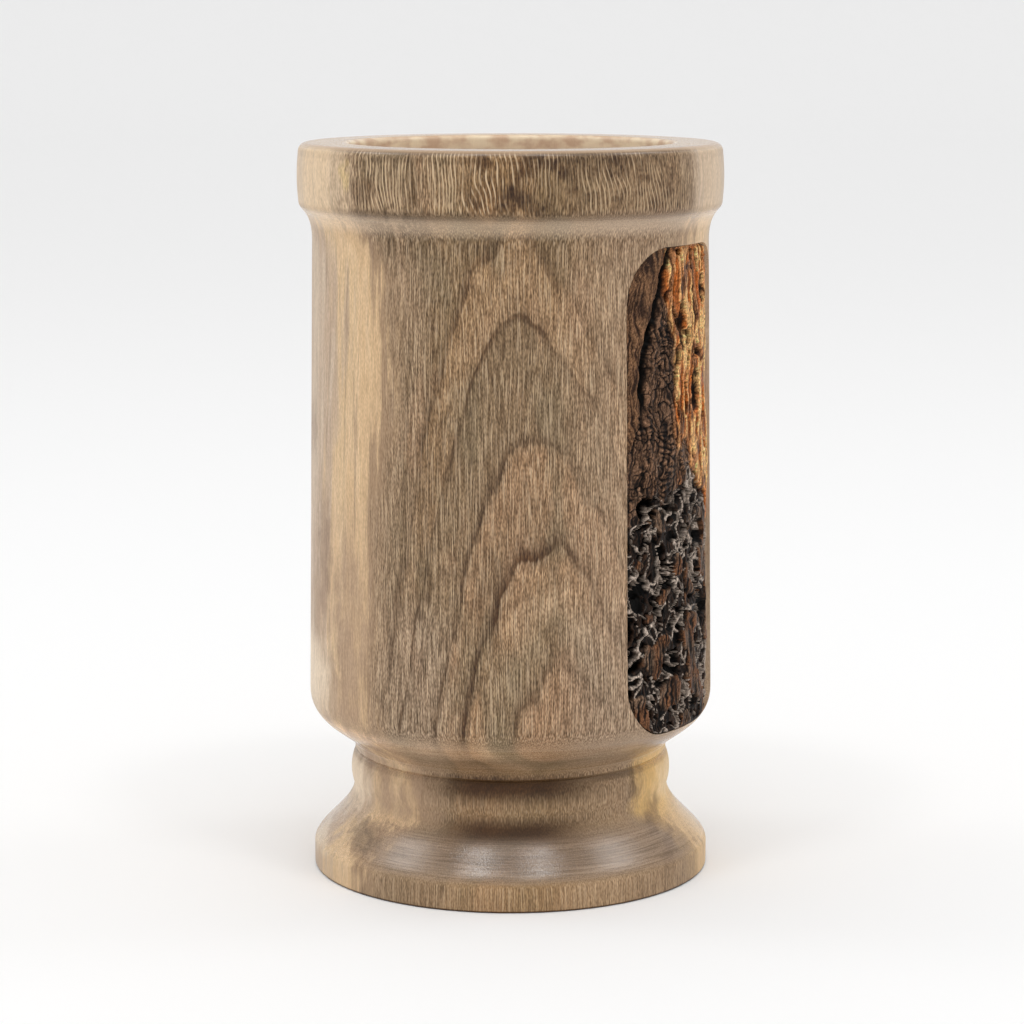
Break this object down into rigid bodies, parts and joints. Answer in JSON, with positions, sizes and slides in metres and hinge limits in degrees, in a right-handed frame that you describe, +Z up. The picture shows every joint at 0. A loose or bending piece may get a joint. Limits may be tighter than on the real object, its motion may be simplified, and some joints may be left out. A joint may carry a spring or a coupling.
{
  "type": "wooden goblet",
  "caption": "Turned wooden goblet: a straight-sided cup with a banded rim, joined by a spigot to a spreading foot, with a dark carved relief panel let into its wall.",
  "frame": {"origin": "centre of the foot's underside, on the surface that the goblet stands on", "axes": "+Z up along the turning axis, -Y towards the middle of the relief panel, +X to the right of someone who faces the panel"},
  "size_m": [0.0926, 0.0926, 0.16],
  "materials": {
    "cup_wood": "oiled, satin",
    "foot_wood": "oiled, satin",
    "relief_wood": "carved and darkened, oiled"
  },
  "bodies": {
    "root": {"cup": "cup_wood", "foot": "foot_wood", "relief_panel": "relief_wood"}
  },
  "joints": []
}
